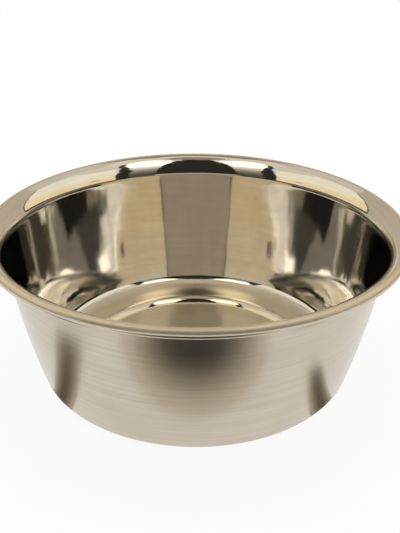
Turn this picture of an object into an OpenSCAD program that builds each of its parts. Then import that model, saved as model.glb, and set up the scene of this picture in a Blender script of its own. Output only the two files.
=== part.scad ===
/* [Bowl] */
// Outer diameter over the rolled rim
rim_d = 286; // [268:2:320]
// Height from the surface that the bowl stands on to the top of the rim
bowl_h = 114; // [98:1:132]
// Thickness of the stainless sheet
sheet_t = 0.6; // [0.4:0.1:0.9]

/* [Rolled rim] */
// Outer diameter of the hollow bead that the edge of the sheet is curled into
bead_d = 6.4; // [5.6:0.2:8]
// Turn of the curl in degrees, from the top of the rim over the outside and back under
curl_turn = 262; // [180:2:264]
// Slope of the rim in degrees where the bead runs into the flare
rim_slope = 27; // [20:1:33]
// Radius of the flare between the bead and the wall
flare_r = 19.5; // [15:0.5:24]

/* [Wall] */
// Radius of the wall's slight outward bulge, seen in section
wall_r = 600; // [500:20:1400]
// Outside radius of the corner at the foot of the wall
corner_r = 7; // [5:0.5:9]

/* [Floor] */
// Diameter of the flat disc, sunk in the middle of the floor, that the bowl stands on
foot_d = 160; // [146:2:176]
// Inside radius of the bend up from that disc
foot_bend_r = 2.5; // [1.6:0.1:4]
// Steepest slope in degrees of the step from the disc to the level ring round it
step_slope = 52; // [30:1:58]
// Radius of the shoulder over which the step runs out into the level ring
shoulder_r = 10; // [6:0.5:14]
// Width of the level ring
ring_w = 2.8; // [0.6:0.1:8]
// Inside radius of the broad bend in which the floor starts to turn up outside the ring
floor_bend_r = 36; // [24:1:60]
// Slope in degrees where the broad bend runs into the corner
floor_slope = 25; // [12:1:32]

/* [Hidden] */

// Facets of a full circle in the section, and of the whole turn about the axis
arc_fn = 1440;
turn_fn = 240;
// Sides of the wedge that cuts a stretch out of a ring, and how far it reaches past the ring, as a share
wedge_sides = 8;
wedge_reach_share = 2;
// Length that neighbouring stretches of the sheet run into each other, so that they join as one
lap = 0.02;

// Centre of the bead, and the direction in which the sheet leaves it for the flare
bead_r = bead_d / 2;
bead_centre = [rim_d / 2 - bead_r, bowl_h - bead_r];
leave_angle = 90 + rim_slope;

// The flare is tangent to the bead there and curves down to the wall
flare_centre = bead_centre + (bead_r - flare_r) * direction(leave_angle);

// Up from the foot disc, over the shoulder and into the level ring
foot_r = foot_d / 2;
foot_bend_centre = [foot_r, sheet_t + foot_bend_r];
step_angle = step_slope - 90;
shoulder_centre = foot_bend_centre + (foot_bend_r + shoulder_r) * direction(step_angle);
ring_z = shoulder_centre.y + shoulder_r - sheet_t;
ring_outer_r = shoulder_centre.x + ring_w;

// Up from the level ring into the corner at the foot of the wall
floor_bend_centre = [ring_outer_r, ring_z + sheet_t + floor_bend_r];
floor_angle = floor_slope - 90;
corner_in_r = corner_r - sheet_t;
corner_centre = floor_bend_centre + (floor_bend_r - corner_in_r) * direction(floor_angle);

// The wall's inner face is the arc of wall_r that is tangent to the flare and to the corner
wall_centre = meeting_point(flare_centre, wall_r + flare_r, corner_centre, wall_r - corner_in_r);
wall_top_angle = heading(wall_centre, flare_centre);
wall_foot_angle = heading(wall_centre, corner_centre);

// Unit vector at an angle from the outward radius
function direction(angle) = [cos(angle), sin(angle)];

// Angle of the line from one point to another
function heading(from, to) = atan2(to.y - from.y, to.x - from.x);

// The point on the axis side that lies at radius ra from a and at radius rb from b
function meeting_point(a, ra, b, rb) =
    let (gap = norm(b - a))
    let (along = (b - a) / gap)
    let (run = (ra * ra - rb * rb + gap * gap) / (2 * gap))
    a + run * along + sqrt(ra * ra - run * run) * [along.y, -along.x];

// Section of a stretch of sheet that is bent about a centre, from one angle to another
module bent_sheet(centre, inner_r, from, to) {
    outer_r = inner_r + sheet_t;
    reach = outer_r * wedge_reach_share;
    lap_angle = lap / outer_r * 180 / PI;
    start = from - lap_angle;
    side_turn = (to + lap_angle - start) / wedge_sides;
    far_points = [for (i = [0:wedge_sides]) reach * direction(start + side_turn * i)];
    translate(centre)
        intersection() {
            difference() {
                circle(r = outer_r, $fn = arc_fn);
                circle(r = inner_r, $fn = arc_fn);
            }
            polygon(concat([[0, 0]], far_points));
        }
}

// Section of a level stretch of sheet, from one radius to another
module level_sheet(from_r, to_r, z) {
    translate([from_r, z])
        square([to_r - from_r, sheet_t]);
}

// Half section of the whole bowl, one sheet from the edge of the curl to the axis
module sheet_section() {
    bent_sheet(bead_centre, bead_r - sheet_t, 90 - curl_turn, leave_angle);
    bent_sheet(flare_centre, flare_r - sheet_t, leave_angle, 180 + wall_top_angle);
    bent_sheet(wall_centre, wall_r, wall_foot_angle, wall_top_angle);
    bent_sheet(corner_centre, corner_in_r, floor_angle, wall_foot_angle);
    bent_sheet(floor_bend_centre, floor_bend_r, -90, floor_angle);
    level_sheet(shoulder_centre.x - lap, ring_outer_r + lap, ring_z);
    bent_sheet(shoulder_centre, shoulder_r - sheet_t, 90, 180 + step_angle);
    bent_sheet(foot_bend_centre, foot_bend_r, -90, step_angle);
    level_sheet(0, foot_r + lap, 0);
}

// The bowl is a single drawn sheet with its edge rolled over
module bowl() {
    color("silver")
        rotate_extrude($fn = turn_fn)
            sheet_section();
}

bowl();
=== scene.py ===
"""A drawn stainless feeding bowl with a rolled rim, in a small photographic tent."""

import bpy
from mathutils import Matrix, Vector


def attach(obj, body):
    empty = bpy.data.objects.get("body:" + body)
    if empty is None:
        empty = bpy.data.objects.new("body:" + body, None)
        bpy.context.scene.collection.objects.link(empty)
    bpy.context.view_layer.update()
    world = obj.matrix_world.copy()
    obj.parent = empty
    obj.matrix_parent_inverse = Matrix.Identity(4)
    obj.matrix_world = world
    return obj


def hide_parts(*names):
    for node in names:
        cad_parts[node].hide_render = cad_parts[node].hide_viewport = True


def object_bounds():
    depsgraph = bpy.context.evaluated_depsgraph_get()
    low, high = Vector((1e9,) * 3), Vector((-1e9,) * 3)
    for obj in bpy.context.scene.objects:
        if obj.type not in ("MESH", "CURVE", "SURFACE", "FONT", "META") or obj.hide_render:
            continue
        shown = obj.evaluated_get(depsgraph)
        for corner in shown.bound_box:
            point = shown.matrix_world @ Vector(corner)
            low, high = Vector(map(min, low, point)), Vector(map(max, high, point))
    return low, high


bl_info = {
    "name": "Stainless Feeding Bowl",
    "version": (1, 0, 0),
    "blender": (4, 5, 0),
    "location": "View3D > Sidebar > Bowl",
    "description": "Builds a drawn stainless bowl with a rolled rim, its finishes and a studio round it",
    "category": "Add Mesh",
}

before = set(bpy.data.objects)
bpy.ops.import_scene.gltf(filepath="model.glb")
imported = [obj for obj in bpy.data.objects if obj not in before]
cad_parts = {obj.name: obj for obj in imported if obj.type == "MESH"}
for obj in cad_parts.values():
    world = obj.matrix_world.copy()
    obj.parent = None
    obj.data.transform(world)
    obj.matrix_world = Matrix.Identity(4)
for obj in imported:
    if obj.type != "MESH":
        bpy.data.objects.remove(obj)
CAD_LOW, CAD_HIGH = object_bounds()

from math import atan2, cos, pi, radians, sin, sqrt

import bmesh
import bpy
from bpy.props import FloatProperty, FloatVectorProperty, IntProperty, PointerProperty
from mathutils import Matrix, Vector

BODY = "root"
CAD_NODE = "bowl"
MM = 0.001

# The mesh's material slots: the polished inside, the brushed rim and the satin outside
INSIDE, RIM, OUTSIDE = 0, 1, 2

# Facets of the bends in the section, from the foot disc to the bead
FOOT_BEND_STEPS, SHOULDER_STEPS, FLOOR_BEND_STEPS = 8, 12, 10
CORNER_STEPS, WALL_STEPS, FLARE_STEPS = 12, 24, 24
# Facets of the bead: up to its top, from there to its widest, and round to the cut edge
BEAD_STEPS = (8, 16, 30)
# Only the cut edge of the curl is sharper than this
SHARP_ANGLE = radians(40)

# Heights between which one finish inside the bowl runs into the next: off the foot disc, off the level ring,
# out of the broad bend, out of the floor's darker, warmer tone, and up into the part of the wall that
# drawing has marked
OFF_DISC = (1.0 * MM, 1.8 * MM)
OFF_RING = (4.9 * MM, 5.4 * MM)
OUT_OF_BEND = (8.0 * MM, 9.5 * MM)
OUT_OF_TINT = (6.0 * MM, 10.0 * MM)
INTO_DRAWN_WALL = (10.0 * MM, 30.0 * MM)
# Heights over the bead's widest line between which its bright side runs into its brushed top
ONTO_RIM = (0.4 * MM, 1.6 * MM)
# How bright the steel stays in its lines and smears, and where their noise passes from dull to bright
DULL_SHARE = 0.9
DULL_NOISE = (0.1, 0.4)
# The range that noise mostly keeps to, and how finely smears break up
NOISE_LOW, NOISE_HIGH = 0.2, 0.8
SMEAR_DETAIL = 3.0
# Shares of its roughness between which each finish varies
DISC_SHARES, BEND_SHARES, WALL_SHARES = (0.92, 1.08), (0.5, 0.7), (0.6, 1.4)
RIM_SHARES, SATIN_SHARES = (0.8, 1.2), (0.9, 1.1)
# Roughness of the bead's bright side, as a share of the rim's
BRIGHT_SIDE_SHARE = 0.4
# How far brushing draws out the gleams, on the rim and outside
RIM_BRUSHED, SATIN_BRUSHED = 0.3, 0.4
# The share of a turn that sets the gleams across the brushed lines
ACROSS_LINES = 0.25

# How a softbox glows over its height, from the table to the top: shares of both
SOFTBOX_FADE = ((0.33, 0.04), (0.5, 0.09), (0.64, 0.18), (0.76, 0.38), (0.82, 0.52), (0.86, 0.85), (0.9, 1.0))
SOFTBOX_TINT = "#FFF5E2"

# The tent's cloths: a colour and a brightness, which for the side cloths is a share of the side panels'
CLOTHS = {"grey": ("#FFEFD6", 0.72), "pale": ("#FFF6E6", 0.88), "crown": ("#FFEED0", 1.15),
          "top": ("#FFF3E0", 0.4), "dark": ("#37352F", 1.0)}
SIDE_CLOTHS = {"cream": ("#FFF8E4", 1.0), "high": ("#FFF8E4", 0.75), "deep_cream": ("#FFE8BE", 1.0),
               "mid_cream": ("#FFECC8", 1.0)}
# Cloths that show only in reflections of reflections, where they paint light and shade into the steel's
# deeper
# reflections: a brightness, and how many reflections they skip
PAINTED_REFLECTION_CLOTHS = {"deep_black": (0.04, 2), "deep_dim": (0.2, 2), "deep_even": (0.7, 2), "deep_white": (2.6, 2),
               "deep_gleam": (6.0, 2), "deeper_dim": (0.3, 3), "deeper_gleam": (6.0, 3)}
DEEP_TINT = "#FFFEFA"

# The tent's panels: a name, a cloth, a lower edge and an upper edge. An edge runs between two azimuths, from
# +Y towards +X, at an elevation, in degrees.
MIDDLE_PANELS = (
    ("back", "grey", (-47, 47, 3), (-38, 38, 42)),
    ("upper_back", "pale", (-38, 38, 42), (-62, 62, 66)),
    ("crown", "crown", (-62, 62, 66), (-80, 80, 81)),
    ("crown_front_shade", "top", (-22, 22, 60), (-30, 30, 75)),
    ("top", "top", (-180, 180, 82), (-180, 180, 90)),
    ("front_low", "grey", (151, 209, -5), (151, 209, 9)),
    ("front", "dark", (151, 209, 9), (151, 209, 82)),
)
# The same for the right side. The left side mirrors it.
SIDE_PANELS = (
    ("low_strip", "dark", (51, 124, -5), (51, 124, 8)),
    ("low", "deep_cream", (47.2, 125, 8), (44.7, 123.3, 19)),
    ("low_upper", "mid_cream", (44.7, 123.3, 19), (42.7, 122, 27.5)),
    ("middle", "cream", (42.7, 122, 27.5), (39.2, 118, 42)),
    ("upper", "cream", (39.2, 118, 42), (62, 110, 54)),
    ("high", "high", (62, 110, 54), (62, 84, 66)),
    ("backing", "dark", (38, 62, -5), (34, 62, 40)),
    ("seam_low", "dark", (125, 134, -5), (120, 131, 40)),
    ("seam_middle", "dark", (120, 131, 40), (111, 120, 56)),
    ("seam_high", "dark", (111, 120, 56), (84, 92, 69)),
    ("softbox_low", "softbox", (134, 151, -5), (131, 151, 40)),
    ("softbox_middle", "softbox", (131, 151, 40), (120, 151, 56)),
    ("softbox_high", "softbox", (120, 151, 56), (92, 151, 69)),
    ("softbox_top", "softbox", (84, 151, 69), (84, 140, 78)),
    ("smudge_shade", "top", (103, 109, 18.6), (103, 109, 21)),
    # The panels named deep and deeper paint light and shade into the steel's deeper reflections
    ("deep_side", "deep_black", (36, 108, 12), (36, 96, 24.5)),
    ("deep_outer", "deep_even", (108, 132, 12), (96, 128, 24.5)),
    ("deep_back", "deep_dim", (0, 72, 24.5), (0, 60, 31.5)),
    ("deep_step", "deep_even", (72, 128, 24.5), (60, 102, 28.5)),
    ("deep_shoulder", "deep_even", (60, 102, 28.5), (54, 74, 35.5)),
    ("deep_low_gleam", "deep_gleam", (126, 140, 24.5), (102, 134, 28.5)),
    ("deep_high_gleam", "deep_gleam", (102, 134, 28.5), (76, 132, 37)),
    ("deep_middle", "deep_dim", (24, 60, 31.5), (32, 56, 35.5)),
    ("deep_back_middle", "deep_even", (6, 24, 31.5), (6, 32, 33.5)),
    ("deep_back_gleam", "deep_gleam", (6, 30, 33.5), (0, 44, 48)),
    ("deep_side_gleam", "deep_gleam", (84, 134, 37), (92, 126, 60)),
    ("deep_crown", "deep_white", (0, 92, 48), (0, 92, 74)),
    ("deep_front", "deep_white", (136, 164, 26), (138, 162, 48)),
    ("deep_edge", "deep_dim", (132, 178, 5), (128, 178, 24.5)),
    ("deeper", "deeper_dim", (0, 128, 5), (0, 128, 30)),
    ("deeper_edge", "deeper_dim", (128, 178, 5), (128, 178, 26)),
    ("deeper_sliver", "deeper_gleam", (66, 84, 12), (60, 78, 24.5)),
)
# The tent's centre, in metres, and where panels hang, as shares of its radius, by a word in their names. The
# rest hang at the radius.
TENT_CENTRE = (0, 0, 0.1)
TENT_LAYERS = (("backing", 1.05), ("sliver", 0.92), ("deeper", 0.93), ("deep", 0.95), ("shade", 0.98))
# Facets of a panel, across and up, of a ring of the shadow, and of a fold along its length
PANEL_STEPS, SHADOW_STEPS, FOLD_STEPS = (24, 12), 48, 8

# The shadow's rings on the floor: a colour, and in metres half the width, half the depth and the centre's
# place along Y
SHADOW_RINGS = {"edge": ("#DDD6CB", 0.136, 0.098, -0.236), "outer": ("#AAA297", 0.112, 0.080, -0.238),
                "inner": ("#6F685F", 0.090, 0.066, -0.241), "core": ("#25211C", 0.066, 0.058, -0.245)}
# The layers of the painted shade along a fold: a colour and a share of the fold's width
FOLD_SHADE_LAYERS = {"edge": ("#BDB2A4", 1.5), "middle": ("#8F8476", 1.0), "core": ("#6A6056", 0.5)}
# The painted shade along the folds: an azimuth in degrees, the near and the far end's distance from the axis,
# and the widths there
FOLD_SHADES = {"left": (-121, 0.106, 0.196, 0.018, 0.040), "right": (126, 0.110, 0.160, 0.020, 0.016)}
# What lies on the floor lies in sheets this far apart
FLOOR_LAYER = 0.3 * MM

# The floor reaches this far from the axis, and glows white by this share where it is seen
FLOOR_REACH = 8.0
FLOOR_GLOW_SHARE = 0.9

# The camera, fitted to the bowl's edges in the photo: place, tilt, turn and roll, and lens in millimetres
CAMERA_PLACE = (0, -0.4570, 0.3126)
CAMERA_TILT, CAMERA_TURN, CAMERA_ROLL = radians(90 - 27.202), radians(-0.356), radians(0.405)
CAMERA_LENS = 49.192


def linear(hex_colour):
    """A linear RGB triple from an sRGB hex colour such as '#C5BBAC'."""
    channels = [int(hex_colour[i:i + 2], 16) / 255 for i in (1, 3, 5)]
    return tuple(c / 12.92 if c <= 0.04045 else ((c + 0.055) / 1.055) ** 2.4 for c in channels)


def add_node(tree, kind, settings=None, inputs=None):
    """Adds a node, sets its properties, and sets or links its inputs by name or number."""
    node = tree.nodes.new(kind)
    for name, value in (settings or {}).items():
        setattr(node, name, value)
    for name, value in (inputs or {}).items():
        if isinstance(value, bpy.types.NodeSocket):
            tree.links.new(value, node.inputs[name])
        else:
            node.inputs[name].default_value = value
    return node


def empty_material(name):
    """A node material with nothing in it but its output."""
    material = bpy.data.materials.new(name)
    material.use_nodes = True
    tree = material.node_tree
    tree.nodes.clear()
    return material, tree, add_node(tree, "ShaderNodeOutputMaterial")


# Sizes and finishes

class BowlSizes(bpy.types.PropertyGroup):
    rim_diameter: FloatProperty(
        name="Rim diameter", description="Outer diameter over the rolled rim",
        default=CAD_HIGH.x - CAD_LOW.x, unit="LENGTH", subtype="DISTANCE")
    height: FloatProperty(
        name="Height", description="From the surface that the bowl stands on to the top of the rim",
        default=CAD_HIGH.z - CAD_LOW.z, unit="LENGTH", subtype="DISTANCE")
    sheet: FloatProperty(
        name="Sheet", description="Thickness of the stainless sheet",
        default=0.6 * MM, unit="LENGTH", subtype="DISTANCE", precision=4)
    bead_diameter: FloatProperty(
        name="Bead", description="Outer diameter of the curled bead",
        default=6.4 * MM, unit="LENGTH", subtype="DISTANCE", precision=4)
    curl_turn: FloatProperty(
        name="Curl", description="Turn of the curl from the top of the rim over the outside and back under",
        default=radians(262), unit="ROTATION", subtype="ANGLE")
    rim_slope: FloatProperty(
        name="Rim slope", description="Slope of the rim where the bead runs into the flare",
        default=radians(27), unit="ROTATION", subtype="ANGLE")
    flare_radius: FloatProperty(
        name="Flare radius", description="Radius of the flare between the bead and the wall",
        default=19.5 * MM, unit="LENGTH", subtype="DISTANCE", precision=4)
    wall_radius: FloatProperty(
        name="Wall bulge radius", description="Radius of the wall's slight bulge, seen in section",
        default=600 * MM, unit="LENGTH", subtype="DISTANCE")
    corner_radius: FloatProperty(
        name="Corner radius", description="Outside radius of the corner at the foot of the wall",
        default=7 * MM, unit="LENGTH", subtype="DISTANCE", precision=4)
    foot_diameter: FloatProperty(
        name="Foot diameter",
        description="Flat disc, sunk in the middle of the floor, that the bowl stands on",
        default=160 * MM, unit="LENGTH", subtype="DISTANCE")
    foot_bend_radius: FloatProperty(
        name="Foot bend radius", description="Inside radius of the bend up from the foot disc",
        default=2.5 * MM, unit="LENGTH", subtype="DISTANCE", precision=4)
    step_slope: FloatProperty(
        name="Step slope", description="Steepest slope between the foot disc and the level ring round it",
        default=radians(52), unit="ROTATION", subtype="ANGLE")
    shoulder_radius: FloatProperty(
        name="Shoulder radius", description="Radius over which the step runs out into the level ring",
        default=10 * MM, unit="LENGTH", subtype="DISTANCE", precision=4)
    ring_width: FloatProperty(
        name="Ring width", description="Width of the level ring",
        default=2.8 * MM, unit="LENGTH", subtype="DISTANCE", precision=4)
    floor_bend_radius: FloatProperty(
        name="Floor bend radius", description="Inside radius of the broad bend outside the level ring",
        default=36 * MM, unit="LENGTH", subtype="DISTANCE", precision=4)
    floor_slope: FloatProperty(
        name="Floor slope", description="Slope where the broad bend runs into the corner",
        default=radians(25), unit="ROTATION", subtype="ANGLE")
    turn_steps: IntProperty(
        name="Turn steps", description="Facets of the whole turn", default=320, min=96, max=384)


class SteelFinish(bpy.types.PropertyGroup):
    inside_steel: FloatVectorProperty(
        name="Inside steel", description="Colour that the polished steel gives to what it reflects",
        default=linear("#CECAC2"), size=3, min=0, max=1, subtype="COLOR")
    # On the bowl's floor the steel is darker and warmer than on its wall
    floor_steel: FloatVectorProperty(
        name="Floor steel",
        description="The same where use of the bowl has left a faint straw tint, on its floor",
        default=linear("#C8BEA8"), size=3, min=0, max=1, subtype="COLOR")
    # Partly the satin steel's own colour and partly painted shade: darker and warmer than the inside steel,
    # for the shaded floor by the foot that the outside reflects. The rim takes it too.
    outside_steel_and_shade: FloatVectorProperty(
        name="Outside steel", description="Colour that the satin steel gives to what it reflects",
        default=linear("#CBC1B0"), size=3, min=0, max=1, subtype="COLOR")
    inside_roughness: FloatProperty(
        name="Inside roughness", description="Mirror polish of the inner wall and the flare",
        default=0.06, min=0, max=1, subtype="FACTOR")
    floor_roughness: FloatProperty(
        name="Foot disc roughness", description="The sunk disc in the floor, dulled by use of the bowl",
        default=0.56, min=0, max=1, subtype="FACTOR")
    rim_roughness: FloatProperty(
        name="Rim roughness", description="The rolled rim, brushed along its length",
        default=0.5, min=0, max=1, subtype="FACTOR")
    outside_roughness: FloatProperty(
        name="Outside roughness", description="Satin polish of the outer wall",
        default=0.24, min=0, max=1, subtype="FACTOR")
    # Real polishing lines are a tenth of a millimetre apart. These are as coarse as they need to be to show.
    line_spacing: FloatProperty(
        name="Polishing lines",
        description="Typical distance between the lines that turning and polishing leave",
        default=2.4 * MM, unit="LENGTH", subtype="DISTANCE", precision=4)


class StudioSettings(bpy.types.PropertyGroup):
    tent_radius: FloatProperty(
        name="Tent radius", description="Distance of the tent's panels from the bowl",
        default=1.2, unit="LENGTH", subtype="DISTANCE")
    side_level: FloatProperty(
        name="Side panels", description="Brightness of the cream side panels", default=1.3, min=0)
    softbox_level: FloatProperty(
        name="Softboxes", description="Brightness of the two softboxes at their tops", default=3.0, min=0)


# Finishes of the steel

def turned_coordinates(tree):
    """Object coordinates, the distance from the bowl's axis and the height, in metres."""
    place = add_node(tree, "ShaderNodeTexCoord").outputs["Object"]
    apart = add_node(tree, "ShaderNodeSeparateXYZ", inputs={0: place})
    flat = add_node(tree, "ShaderNodeCombineXYZ", inputs={0: apart.outputs["X"], 1: apart.outputs["Y"]})
    reach = add_node(tree, "ShaderNodeVectorMath", {"operation": "LENGTH"}, {0: flat.outputs[0]})
    return place, reach.outputs["Value"], apart.outputs["Z"]


def turned_lines(tree, place, reach, height, spacing, drift):
    """Noise drawn out along the turn: rings that fade in and out over a length of `drift`."""
    across = add_node(tree, "ShaderNodeMath", {"operation": "ADD"}, {0: reach, 1: height})
    rings = add_node(tree, "ShaderNodeCombineXYZ", inputs={2: across.outputs[0]})
    fine = add_node(tree, "ShaderNodeVectorMath", {"operation": "SCALE"},
                    {0: rings.outputs[0], "Scale": 1 / spacing})
    slow = add_node(tree, "ShaderNodeVectorMath", {"operation": "SCALE"},
                    {0: place, "Scale": 1 / drift})
    both = add_node(tree, "ShaderNodeVectorMath", {"operation": "ADD"},
                    {0: fine.outputs[0], 1: slow.outputs[0]})
    return add_node(tree, "ShaderNodeTexNoise", {"noise_dimensions": "3D"},
                    {"Vector": both.outputs[0], "Scale": 1.0, "Detail": 1.0}).outputs["Fac"]


def draw_lines(tree, place, width, length):
    """Noise drawn out up the wall: the faint upright waves that deep drawing leaves in it."""
    squeeze = add_node(tree, "ShaderNodeVectorMath", {"operation": "MULTIPLY"},
                       {0: place, 1: (1 / width, 1 / width, 1 / length)})
    return add_node(tree, "ShaderNodeTexNoise", {"noise_dimensions": "3D"},
                    {"Vector": squeeze.outputs[0], "Scale": 1.0, "Detail": 1.0}).outputs["Fac"]


def soft_noise(tree, place, size, detail=2.0):
    """Even noise whose blotches are about `size` metres across."""
    return add_node(tree, "ShaderNodeTexNoise", {"noise_dimensions": "3D"},
                    {"Vector": place, "Scale": 1 / size, "Detail": detail}).outputs["Fac"]


def spread(tree, value, low, high, from_low=NOISE_LOW, from_high=NOISE_HIGH):
    """Maps noise, or any value, to a range."""
    ranges = {"From Min": from_low, "From Max": from_high, "To Min": low, "To Max": high}
    return add_node(tree, "ShaderNodeMapRange", inputs={"Value": value, **ranges}).outputs[0]


def mix(tree, share, low, high):
    """Goes from one value to another as a share goes from 0 to 1."""
    return add_node(tree, "ShaderNodeMix", {"data_type": "FLOAT"}, {0: share, 2: low, 3: high}).outputs[0]


def bump(tree, height, distance, normal=None):
    """Raises the surface by up to `distance` metres."""
    inputs = {"Height": height, "Distance": distance, "Strength": 1.0}
    if normal is not None:
        inputs["Normal"] = normal
    return add_node(tree, "ShaderNodeBump", inputs=inputs).outputs[0]


def mix_colours(tree, share, low, high):
    """Goes from one colour to another as a share goes from 0 to 1."""
    return add_node(tree, "ShaderNodeMix", {"data_type": "RGBA"}, {0: share, 6: low, 7: high}).outputs[2]


def steel_colour(tree, colour, lines, smears):
    """The steel's colour, a little darker in its lines and where it is smeared."""
    both = add_node(tree, "ShaderNodeMath", {"operation": "MULTIPLY"}, {0: lines, 1: smears})
    tone = spread(tree, both.outputs[0], 0.0, 1.0, *DULL_NOISE)
    return mix_colours(tree, tone, (*(c * DULL_SHARE for c in colour), 1), (*colour, 1))


def steel_surface(tree, output, colour, roughness, normal, brushed=0.0):
    """Bare metal. Brushed steel spreads its gleams across its lines, so up and down the wall."""
    steel = add_node(tree, "ShaderNodeBsdfPrincipled", inputs={
        "Base Color": colour, "Metallic": 1.0, "Roughness": roughness, "Normal": normal})
    if brushed:
        steel.inputs["Anisotropic"].default_value = brushed
        steel.inputs["Anisotropic Rotation"].default_value = ACROSS_LINES
        along = add_node(tree, "ShaderNodeTangent", {"direction_type": "RADIAL", "axis": "Z"})
        tree.links.new(along.outputs[0], steel.inputs["Tangent"])
    tree.links.new(steel.outputs[0], output.inputs[0])


def uneven(tree, noise, roughness, low_share, high_share):
    """A roughness that changes from place to place between two shares of itself."""
    return spread(tree, noise, roughness * low_share, roughness * high_share)


def polished_stainless(finish):
    """Stainless steel, drawn and mirror polished: the eye gets sharp reflections that swim a little and break
    into upright streaks at the sides, faint polishing rings, and a floor that use has dulled, in a darker,
    warmer tone."""
    line_run, line_depth, smear_size = 60 * MM, 0.001 * MM, 22 * MM
    draw_width, draw_length, draw_depth = 8 * MM, 140 * MM, 0.07 * MM
    swim_size, swim_depth = 55 * MM, 0.16 * MM
    material, tree, output = empty_material("stainless_mirror_polish")
    place, reach, height = turned_coordinates(tree)
    lines = turned_lines(tree, place, reach, height, finish.line_spacing, line_run)
    smears = soft_noise(tree, place, smear_size, SMEAR_DETAIL)

    disc_rough = uneven(tree, smears, finish.floor_roughness, *DISC_SHARES)
    bend_rough = uneven(tree, lines, finish.floor_roughness, *BEND_SHARES)
    wall_rough = uneven(tree, smears, finish.inside_roughness, *WALL_SHARES)
    on_disc = spread(tree, height, 1.0, 0.0, *OFF_DISC)
    over_ring = spread(tree, height, 0.0, 1.0, *OFF_RING)
    under_corner = spread(tree, height, 1.0, 0.0, *OUT_OF_BEND)
    on_bend = add_node(tree, "ShaderNodeMath", {"operation": "MULTIPLY"}, {0: over_ring, 1: under_corner})
    rough = mix(tree, on_disc, mix(tree, on_bend.outputs[0], wall_rough, bend_rough), disc_rough)

    on_wall = spread(tree, height, 0.0, 1.0, *INTO_DRAWN_WALL)
    waves = add_node(tree, "ShaderNodeMath", {"operation": "MULTIPLY"},
                     {0: draw_lines(tree, place, draw_width, draw_length), 1: on_wall})
    swim = bump(tree, soft_noise(tree, place, swim_size), swim_depth)
    drawn = bump(tree, waves.outputs[0], draw_depth, swim)
    rings = bump(tree, lines, line_depth, drawn)

    off_floor = spread(tree, height, 0.0, 1.0, *OUT_OF_TINT)
    colour = mix_colours(tree, off_floor, steel_colour(tree, finish.floor_steel, lines, smears),
                         steel_colour(tree, finish.inside_steel, lines, smears))
    steel_surface(tree, output, colour, rough, rings)
    return material


def brushed_rim(finish, sizes):
    """Stainless steel brushed along the top of the rolled rim and left bright below it: the eye gets one even
    band of tone with a lighter line under it."""
    line_run, line_depth, smear_size = 50 * MM, 0.002 * MM, 20 * MM
    material, tree, output = empty_material("stainless_brushed_rim")
    place, reach, height = turned_coordinates(tree)
    lines = turned_lines(tree, place, reach, height, finish.line_spacing / 2, line_run)
    smears = soft_noise(tree, place, smear_size, SMEAR_DETAIL)
    widest = sizes.height - sizes.bead_diameter / 2
    on_top = spread(tree, height, 0.0, 1.0, *(widest + rise for rise in ONTO_RIM))
    top_rough = uneven(tree, smears, finish.rim_roughness, *RIM_SHARES)
    rough = mix(tree, on_top, finish.rim_roughness * BRIGHT_SIDE_SHARE, top_rough)
    rings = bump(tree, lines, line_depth)
    # The rim's colour holds the same painted shade as the outside
    colour = steel_colour(tree, finish.outside_steel_and_shade, lines, smears)
    steel_surface(tree, output, colour, rough, rings, RIM_BRUSHED)
    return material


def satin_stainless(finish):
    """Stainless steel, turned to a satin polish: the eye gets blurred reflections and fine rings."""
    line_run, line_depth, smear_size = 90 * MM, 0.012 * MM, 30 * MM
    swim_size, swim_depth = 60 * MM, 0.15 * MM
    material, tree, output = empty_material("stainless_turned_satin")
    place, reach, height = turned_coordinates(tree)
    lines = turned_lines(tree, place, reach, height, finish.line_spacing, line_run)
    smears = soft_noise(tree, place, smear_size, SMEAR_DETAIL)
    rough = uneven(tree, smears, finish.outside_roughness, *SATIN_SHARES)
    swim = bump(tree, soft_noise(tree, place, swim_size, 1.0), swim_depth)
    rings = bump(tree, lines, line_depth, swim)
    # Its colour holds painted shade: darker and warmer than the inside steel
    colour = steel_colour(tree, finish.outside_steel_and_shade, lines, smears)
    steel_surface(tree, output, colour, rough, rings, SATIN_BRUSHED)
    return material


# The bowl

def toward(angle):
    """Unit vector in the section plane at an angle from the outward radius."""
    return Vector((cos(angle), 0, sin(angle)))


def meeting_point(a, reach_a, b, reach_b):
    """The point on the axis side at reach_a from a and at reach_b from b, in the section plane."""
    gap = (b - a).length
    along = (b - a) / gap
    run = (reach_a ** 2 - reach_b ** 2 + gap ** 2) / (2 * gap)
    return a + run * along + sqrt(reach_a ** 2 - run ** 2) * Vector((along.z, 0, -along.x))


def heading(start, end):
    """Angle of the line from one point of the section to another."""
    return atan2(end.z - start.z, end.x - start.x)


class Section:
    """One side of the sheet, drawn point by point in the plane y = 0, in runs that have one finish each."""

    def __init__(self, bm, start, slot):
        self.bm = bm
        self.end = bm.verts.new(start)
        self.runs = []
        self.change_finish(slot)

    def change_finish(self, slot):
        self.runs.append((slot, [self.end]))

    def straight(self, point):
        grown = bmesh.ops.extrude_vert_indiv(self.bm, verts=[self.end])
        self.end = grown["verts"][0]
        self.end.co = point
        self.runs[-1][1].extend(grown["verts"] + grown["edges"])

    def bend(self, centre, start, stop, steps):
        """An arc about a centre from one angle to another, starting where the line has got to."""
        before = set(self.bm.edges) | set(self.bm.verts)
        spun = bmesh.ops.spin(self.bm, geom=[self.end], cent=centre, axis=(0, -1, 0), angle=stop - start,
                              steps=steps, use_merge=False, use_duplicate=False)
        self.end = next(g for g in spun["geom_last"] if isinstance(g, bmesh.types.BMVert))
        self.runs[-1][1].extend(g for g in (*self.bm.edges, *self.bm.verts) if g not in before)


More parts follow.
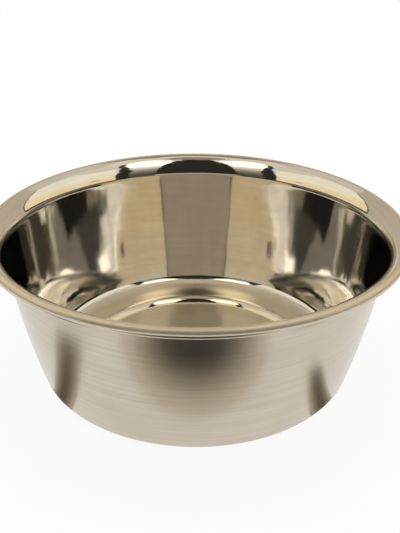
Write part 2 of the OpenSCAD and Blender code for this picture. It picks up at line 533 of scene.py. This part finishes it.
def sheet_sides(bm, s):
    """The section's runs, each with its material slot, from the axis out to the cut edge of the curl."""
    bead_r = s.bead_diameter / 2
    bead = Vector((s.rim_diameter / 2 - bead_r, 0, s.height - bead_r))
    leave = pi / 2 + s.rim_slope
    curl_end = pi / 2 - s.curl_turn
    flare = bead + (bead_r - s.flare_radius) * toward(leave)
    foot_r = s.foot_diameter / 2
    foot_bend = Vector((foot_r, 0, s.sheet + s.foot_bend_radius))
    step = s.step_slope - pi / 2
    shoulder = foot_bend + (s.foot_bend_radius + s.shoulder_radius) * toward(step)
    ring_top = shoulder.z + s.shoulder_radius
    floor_bend = Vector((shoulder.x + s.ring_width, 0, ring_top + s.floor_bend_radius))
    slope = s.floor_slope - pi / 2
    corner_in = s.corner_radius - s.sheet
    corner = floor_bend + (s.floor_bend_radius - corner_in) * toward(slope)
    wall = meeting_point(flare, s.wall_radius + s.flare_radius, corner, s.wall_radius - corner_in)
    wall_top = heading(wall, flare)
    wall_foot = heading(wall, corner)

    sides = []
    for z, slot, rim_slot in ((s.sheet, INSIDE, RIM), (0, OUTSIDE, OUTSIDE)):
        side = Section(bm, (0, 0, z), slot)
        side.straight((foot_r, 0, z))
        side.bend(foot_bend, -pi / 2, step, FOOT_BEND_STEPS)
        side.bend(shoulder, pi + step, pi / 2, SHOULDER_STEPS)
        side.straight((floor_bend.x, 0, ring_top - s.sheet + z))
        side.bend(floor_bend, -pi / 2, slope, FLOOR_BEND_STEPS)
        side.bend(corner, slope, wall_foot, CORNER_STEPS)
        side.bend(wall, wall_foot, wall_top, WALL_STEPS)
        side.bend(flare, pi + wall_top, leave, FLARE_STEPS)
        side.change_finish(rim_slot)
        for start, stop, steps in zip((leave, pi / 2, 0), (pi / 2, 0, curl_end), BEAD_STEPS):
            side.bend(bead, start, stop, steps)
        sides.append(side)
    upper, lower = sides
    upper.straight(lower.end.co.copy())
    return upper.runs + lower.runs


def make_bowl(sizes, finish):
    """The whole sheet as one closed mesh that stands for the CAD bowl."""
    weld = sizes.sheet / 100
    bm = bmesh.new()
    for slot, run in sheet_sides(bm, sizes):
        before = set(bm.faces)
        bmesh.ops.spin(bm, geom=run, cent=(0, 0, 0), axis=(0, 0, 1), angle=pi / 2,
                       steps=sizes.turn_steps // 4, use_merge=False, use_duplicate=False)
        for face in bm.faces:
            if face not in before:
                face.material_index = slot
    for axis in ("X", "Y"):
        bmesh.ops.mirror(bm, geom=[*bm.verts, *bm.edges, *bm.faces], axis=axis, merge_dist=weld)
    bmesh.ops.remove_doubles(bm, verts=bm.verts, dist=weld)
    bmesh.ops.recalc_face_normals(bm, faces=bm.faces)
    for face in bm.faces:
        face.smooth = True
    mesh = bpy.data.meshes.new("bowl_sheet")
    bm.to_mesh(mesh)
    bm.free()
    mesh.set_sharp_from_angle(angle=SHARP_ANGLE)
    for material in (polished_stainless(finish), brushed_rim(finish, sizes), satin_stainless(finish)):
        mesh.materials.append(material)
    bowl = bpy.data.objects.new("bowl_sheet", mesh)
    bpy.context.scene.collection.objects.link(bowl)
    return bowl


class BOWL_OT_make_bowl(bpy.types.Operator):
    """Builds the bowl in place of its CAD node"""
    bl_idname = "feeding_bowl.make_bowl"
    bl_label = "Bowl"

    def execute(self, context):
        scene = context.scene
        bowl = make_bowl(scene.bowl_sizes, scene.bowl_finish)
        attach(bowl, BODY)
        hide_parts(CAD_NODE)
        return {"FINISHED"}


# The studio

def add_stage(name, bm, material, seen=False):
    """Makes a stage object of a bmesh. Only the floor shows in the picture: the rest shows in the steel."""
    mesh = bpy.data.meshes.new(name)
    bm.to_mesh(mesh)
    bm.free()
    for polygon in mesh.polygons:
        polygon.use_smooth = True
    mesh.materials.append(material)
    piece = bpy.data.objects.new(name, mesh)
    bpy.context.scene.collection.objects.link(piece)
    piece.visible_camera = seen
    piece.visible_diffuse = seen


def glowing_cloth(name, colour, level):
    """Translucent cloth lit from behind, also used for the dark sheets of painted shadow and shade on the
    floor:
    the eye gets an even panel of one tone.
    """
    material, tree, output = empty_material(name)
    cloth = add_node(tree, "ShaderNodeEmission", inputs={"Color": (*colour, 1), "Strength": level})
    tree.links.new(cloth.outputs[0], output.inputs[0])
    return material


def painted_deep_reflection(name, colour, level, skipped):
    """Tent cloth that shows only in reflections of reflections, past a number that it skips: painted light
    and shade in the steel's deeper reflections. It stands for how the unevenness of real drawn steel turns
    those aside, so that they break into black and white."""
    material, tree, output = empty_material(name)
    path = add_node(tree, "ShaderNodeLightPath")
    deep = add_node(tree, "ShaderNodeMath", {"operation": "GREATER_THAN"},
                    {0: path.outputs["Glossy Depth"], 1: skipped + 0.5})
    clear = add_node(tree, "ShaderNodeBsdfTransparent")
    cloth = add_node(tree, "ShaderNodeEmission", inputs={"Color": (*colour, 1), "Strength": level})
    both = add_node(tree, "ShaderNodeMixShader",
                    inputs={0: deep.outputs[0], 1: clear.outputs[0], 2: cloth.outputs[0]})
    tree.links.new(both.outputs[0], output.inputs[0])
    return material


def softbox_cloth(level, top):
    """Softbox cloth with its lamp high up: the eye gets a white panel that fades towards the table."""
    material, tree, output = empty_material("tent_softbox")
    height = turned_coordinates(tree)[2]
    share = spread(tree, height, 0.0, 1.0, 0.0, top)
    fade = add_node(tree, "ShaderNodeValToRGB", inputs={"Fac": share})
    stops = fade.color_ramp.elements
    tint = (*linear(SOFTBOX_TINT), 1)
    for place, glow in SOFTBOX_FADE[1:-1]:
        stops.new(place).color = tuple(glow * c for c in tint)
    for stop, (place, glow) in ((stops[0], SOFTBOX_FADE[0]), (stops[-1], SOFTBOX_FADE[-1])):
        stop.position, stop.color = place, tuple(glow * c for c in tint)
    cloth = add_node(tree, "ShaderNodeEmission", inputs={"Color": fade.outputs[0], "Strength": level})
    tree.links.new(cloth.outputs[0], output.inputs[0])
    return material


def tent_panel(name, material, low, high, centre, radius):
    """A patch of the tent between two edges, each with two azimuths and an elevation in degrees."""
    bm = bmesh.new()
    bmesh.ops.create_grid(bm, x_segments=PANEL_STEPS[0], y_segments=PANEL_STEPS[1], size=1)
    for vert in bm.verts:
        across, up = (vert.co.x + 1) / 2, (vert.co.y + 1) / 2
        left, right, rise = (radians(a + (b - a) * up) for a, b in zip(low, high))
        turn = left + (right - left) * across
        vert.co = centre + radius * Vector((sin(turn) * cos(rise), cos(turn) * cos(rise), sin(rise)))
    add_stage(name, bm, material)


def seen_directly(tree):
    """1 for what the camera sees, also in a mirror or through glass, and 0 for the light on the object."""
    path = add_node(tree, "ShaderNodeLightPath")
    seen = add_node(tree, "ShaderNodeMath", {"operation": "MAXIMUM"},
                    {0: path.outputs["Is Camera Ray"], 1: path.outputs["Is Glossy Ray"]})
    return add_node(tree, "ShaderNodeMath", {"operation": "MAXIMUM"},
                    {0: seen.outputs[0], 1: path.outputs["Is Transmission Ray"]}).outputs[0]


def pale_floor_material():
    """Matt white board: the eye gets a white ground that keeps the bowl's soft shadow."""
    material, tree, output = empty_material("white_board")
    board = add_node(tree, "ShaderNodeBsdfDiffuse", inputs={"Color": (*linear("#F7F6F4"), 1)})
    white = add_node(tree, "ShaderNodeEmission",
                     inputs={"Color": (1, 1, 1, 1), "Strength": seen_directly(tree)})
    both = add_node(tree, "ShaderNodeMixShader",
                    inputs={0: FLOOR_GLOW_SHARE, 1: board.outputs[0], 2: white.outputs[0]})
    tree.links.new(both.outputs[0], output.inputs[0])
    return material


def white_world():
    """A white surround for the picture and for the steel, and the soft light on the floor."""
    world = bpy.data.worlds.new("white_surround")
    world.use_nodes = True
    tree = world.node_tree
    tree.nodes.clear()
    light = add_node(tree, "ShaderNodeBackground", inputs={"Color": (1, 1, 1, 1), "Strength": 1.0})
    output = add_node(tree, "ShaderNodeOutputWorld")
    tree.links.new(light.outputs[0], output.inputs[0])
    bpy.context.scene.world = world


def make_floor():
    """The pale floor, level with the bowl's foot."""
    bm = bmesh.new()
    bmesh.ops.create_grid(bm, x_segments=1, y_segments=1, size=FLOOR_REACH)
    add_stage("floor", bm, pale_floor_material(), seen=True)


def tent_cloths(studio):
    """The tent's materials by name."""
    cloths = {}
    for name, (colour, level) in CLOTHS.items():
        cloths[name] = glowing_cloth("tent_" + name, linear(colour), level)
    for name, (colour, share) in SIDE_CLOTHS.items():
        cloths[name] = glowing_cloth("tent_" + name, linear(colour), studio.side_level * share)
    for name, (level, skipped) in PAINTED_REFLECTION_CLOTHS.items():
        cloths[name] = painted_deep_reflection(name, linear(DEEP_TINT), level, skipped)
    cloths["softbox"] = softbox_cloth(studio.softbox_level, studio.tent_radius + TENT_CENTRE[2])
    return cloths


def make_tent(studio):
    """Panels round the bowl: what its steel reflects."""
    cloths = tent_cloths(studio)
    panels = list(MIDDLE_PANELS)
    for side, sign in (("left", -1), ("right", 1)):
        for name, cloth, low, high in SIDE_PANELS:
            edges = ((sign * start, sign * stop, rise) for start, stop, rise in (low, high))
            panels.append((f"{side}_{name}", cloth, *edges))
    for name, cloth, low, high in panels:
        layer = next((share for word, share in TENT_LAYERS if word in name), 1.0)
        tent_panel("tent_" + name, cloths[cloth], low, high, Vector(TENT_CENTRE), studio.tent_radius * layer)


def make_shadow():
    """The soft shadow of camera and stand, past the picture's lower edge: it shows only in the steel."""
    for i, (name, (colour, width, depth, centre)) in enumerate(SHADOW_RINGS.items()):
        bm = bmesh.new()
        bmesh.ops.create_circle(bm, cap_ends=True, segments=SHADOW_STEPS, radius=1)
        bmesh.ops.scale(bm, verts=bm.verts, vec=(width, depth, 1))
        bmesh.ops.translate(bm, verts=bm.verts, vec=(0, centre, (i + 1) * FLOOR_LAYER))
        add_stage("shadow_" + name, bm, glowing_cloth("shadow_" + name, linear(colour), 1.0))


def make_fold_shades():
    """Painted shade: two dark sheets on the floor for the shade in two folds of the ground cloth, and at
    their near ends for the bowl's own shadow by its foot. They show only as soft dark streaks in the steel.
    """
    for i, (part, (colour, share)) in enumerate(FOLD_SHADE_LAYERS.items()):
        # Each layer is a sheet of painted shade, darker towards the fold's middle
        shade = glowing_cloth("fold_shade_" + part, linear(colour), 1.0)
        for name, (azimuth, near, far, near_width, far_width) in FOLD_SHADES.items():
            bm = bmesh.new()
            bmesh.ops.create_grid(bm, x_segments=1, y_segments=FOLD_STEPS, size=0.5)
            for vert in bm.verts:
                out = vert.co.y + 0.5
                width = share * (near_width + (far_width - near_width) * out)
                vert.co = (vert.co.x * width, near + (far - near) * out, (i + 1) * FLOOR_LAYER)
            turn = Matrix.Rotation(-radians(azimuth), 3, "Z")
            bmesh.ops.rotate(bm, verts=bm.verts, cent=(0, 0, 0), matrix=turn)
            add_stage(f"fold_shade_{name}_{part}", bm, shade)


def make_camera():
    """The camera where the photograph was taken from."""
    data = bpy.data.cameras.new("camera")
    data.sensor_width = 36
    data.lens = CAMERA_LENS
    data.clip_start = 0.01
    camera = bpy.data.objects.new("camera", data)
    bpy.context.scene.collection.objects.link(camera)
    camera.matrix_world = (Matrix.Translation(CAMERA_PLACE) @ Matrix.Rotation(CAMERA_TURN, 4, "Z")
                           @ Matrix.Rotation(CAMERA_TILT, 4, "X") @ Matrix.Rotation(CAMERA_ROLL, 4, "Z"))
    bpy.context.scene.camera = camera


class BOWL_OT_make_studio(bpy.types.Operator):
    """Builds the floor, the tent's panels, the surround and the camera"""
    bl_idname = "feeding_bowl.make_studio"
    bl_label = "Studio"

    def execute(self, context):
        studio = context.scene.bowl_studio
        make_floor()
        make_tent(studio)
        make_shadow()
        make_fold_shades()
        white_world()
        make_camera()
        context.scene.view_settings.view_transform = "Standard"
        return {"FINISHED"}


class BOWL_PT_sidebar(bpy.types.Panel):
    """Lists the operators and their settings"""
    bl_idname = "BOWL_PT_sidebar"
    bl_label = "Feeding bowl"
    bl_space_type = "VIEW_3D"
    bl_region_type = "UI"
    bl_category = "Bowl"

    def draw(self, context):
        for group, operator in ((context.scene.bowl_sizes, None),
                                (context.scene.bowl_finish, BOWL_OT_make_bowl),
                                (context.scene.bowl_studio, BOWL_OT_make_studio)):
            column = self.layout.column()
            for name in group.__annotations__:
                column.prop(group, name)
            if operator is not None:
                column.operator(operator.bl_idname)


CLASSES = (BowlSizes, SteelFinish, StudioSettings, BOWL_OT_make_bowl, BOWL_OT_make_studio, BOWL_PT_sidebar)


def register():
    for cls in CLASSES:
        bpy.utils.register_class(cls)
    bpy.types.Scene.bowl_sizes = PointerProperty(type=BowlSizes)
    bpy.types.Scene.bowl_finish = PointerProperty(type=SteelFinish)
    bpy.types.Scene.bowl_studio = PointerProperty(type=StudioSettings)


def unregister():
    for name in ("bowl_sizes", "bowl_finish", "bowl_studio"):
        delattr(bpy.types.Scene, name)
    for cls in reversed(CLASSES):
        bpy.utils.unregister_class(cls)


def main():
    register()
    bpy.ops.feeding_bowl.make_bowl()
    bpy.ops.feeding_bowl.make_studio()


if __name__ == "__main__":
    main()
